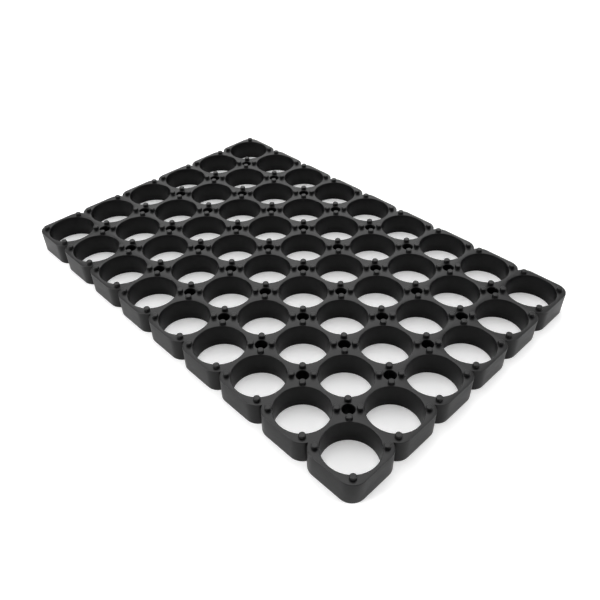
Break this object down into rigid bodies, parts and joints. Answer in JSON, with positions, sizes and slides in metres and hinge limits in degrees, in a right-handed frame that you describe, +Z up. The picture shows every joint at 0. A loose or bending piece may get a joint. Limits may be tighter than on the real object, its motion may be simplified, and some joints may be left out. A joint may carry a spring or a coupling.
{
  "type": "battery cell holder bracket",
  "caption": "Flat moulded grid of round through bores that spaces cylindrical cells side by side, with small locating pins on its top face.",
  "frame": {"origin": "centre of the underside, on the surface that the bracket lies on", "axes": "+Z up along the bores, towards the locating pins; +Y along the nine-cell side; +X along the six-cell side"},
  "size_m": [0.1228, 0.1834, 0.0103],
  "materials": {
    "black_plastic": "satin"
  },
  "bodies": {
    "root": {"cell_holder": "black_plastic"}
  },
  "joints": []
}
